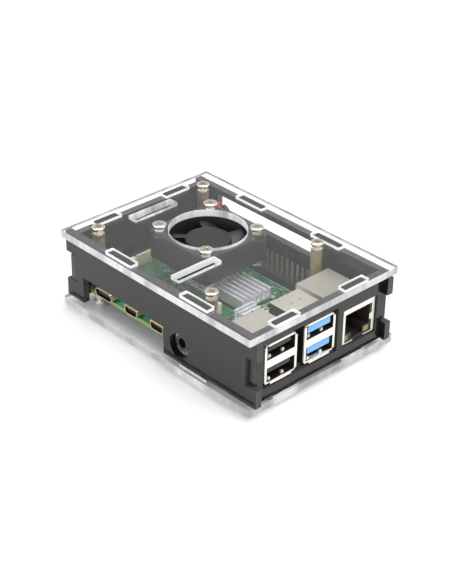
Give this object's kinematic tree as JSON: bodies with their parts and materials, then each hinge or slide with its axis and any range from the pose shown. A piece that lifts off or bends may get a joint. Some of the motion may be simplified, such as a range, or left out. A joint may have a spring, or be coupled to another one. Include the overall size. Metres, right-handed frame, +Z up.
{
  "type": "single board computer",
  "caption": "Small circuit board computer in a clear and black plate case, with a cooling fan under its clear cover, finned coolers, network and serial ports and a pin header.",
  "frame": {"origin": "middle of the footprint, at the height of the base screw heads it rests on", "axes": "+X along the board towards the network and serial ports, +Y towards the pin header, +Z up out of the cover"},
  "size_m": [0.096, 0.0686, 0.0327],
  "materials": {
    "anodised_aluminium": "satin",
    "black_acrylic": "polished black sheet",
    "black_insulation": "soft",
    "black_plastic": "matte",
    "blue_plastic": "satin",
    "brass": "turned brass",
    "ceramic": "matte",
    "chip_lid": "satin nickel",
    "chip_package": "matte",
    "clear_acrylic": "polished clear sheet",
    "copper_wire": "wound",
    "cream_plastic": "satin",
    "dark_latch": "satin",
    "ferrite": "matte",
    "gold_contacts": "gold plate",
    "green_lens": "frosted",
    "green_solder_mask": "semi-gloss",
    "light_window": "clear",
    "magnet": "matte",
    "nickel": "nickel plate",
    "pale_spacer": "satin",
    "red_insulation": "soft",
    "solder": "satin",
    "steel": "ground",
    "thermal_pad": "matte",
    "tinned_shell": "satin tin plate",
    "yellow_lens": "frosted"
  },
  "bodies": {
    "case": {"cover_plate": "clear_acrylic", "base_plate": "clear_acrylic", "front_panel": "black_acrylic", "rear_panel": "black_acrylic", "port_panel": "black_acrylic", "card_panel": "black_acrylic", "cover_screws": "nickel", "base_screws": "nickel", "standoffs": "brass", "board_spacers": "pale_spacer", "circuit_board": "green_solder_mask", "solder_pads": "solder", "fan_frame": "black_plastic", "fan_coils": "copper_wire", "fan_screws": "nickel", "fan_nuts": "nickel", "fan_lead_red": "red_insulation", "fan_lead_black": "black_insulation", "fan_plug": "black_plastic", "usb2_shell": "tinned_shell", "usb3_shell": "tinned_shell", "usb2_tongues": "black_plastic", "usb3_tongues": "blue_plastic", "usb2_contacts": "gold_contacts", "usb3_contacts": "gold_contacts", "ethernet_shell": "tinned_shell", "ethernet_insert": "black_plastic", "ethernet_contacts": "gold_contacts", "link_light_pipe": "green_lens", "activity_light_pipe": "yellow_lens", "power_port_shell": "tinned_shell", "power_port_tongue": "black_plastic", "video_port_shells": "tinned_shell", "video_port_tongues": "black_plastic", "audio_jack": "black_plastic", "header_base": "black_plastic", "header_pins": "gold_contacts", "power_header_base": "black_plastic", "power_header_pins": "gold_contacts", "display_connector": "cream_plastic", "camera_connector": "cream_plastic", "processor": "chip_lid", "memory_chip": "chip_package", "support_chips": "chip_package", "thermal_pads": "thermal_pad", "processor_cooler": "anodised_aluminium", "memory_cooler": "anodised_aluminium", "hub_cooler": "anodised_aluminium", "wireless_shield": "chip_lid", "inductors": "ferrite", "ceramic_capacitors": "ceramic", "crystals": "chip_lid", "status_lights": "light_window", "card_socket": "tinned_shell"},
    "fan_rotor": {"fan_impeller": "black_plastic", "fan_magnet": "magnet", "fan_shaft": "steel"},
    "display_latch": {"display_latch": "dark_latch"},
    "camera_latch": {"camera_latch": "dark_latch"}
  },
  "joints": [
    {"name": "fan_spin", "type": "hinge", "parent": "case", "child": "fan_rotor", "pos_m": [-0.01435, 0.0046, 0.0235], "axis": [0, 0, 1], "continuous": true},
    {"name": "display_latch_lift", "type": "slide", "parent": "case", "child": "display_latch", "axis": [0, 0, 1], "range_m": [0, 0.001]},
    {"name": "camera_latch_lift", "type": "slide", "parent": "case", "child": "camera_latch", "axis": [0, 0, 1], "range_m": [0, 0.001]}
  ]
}
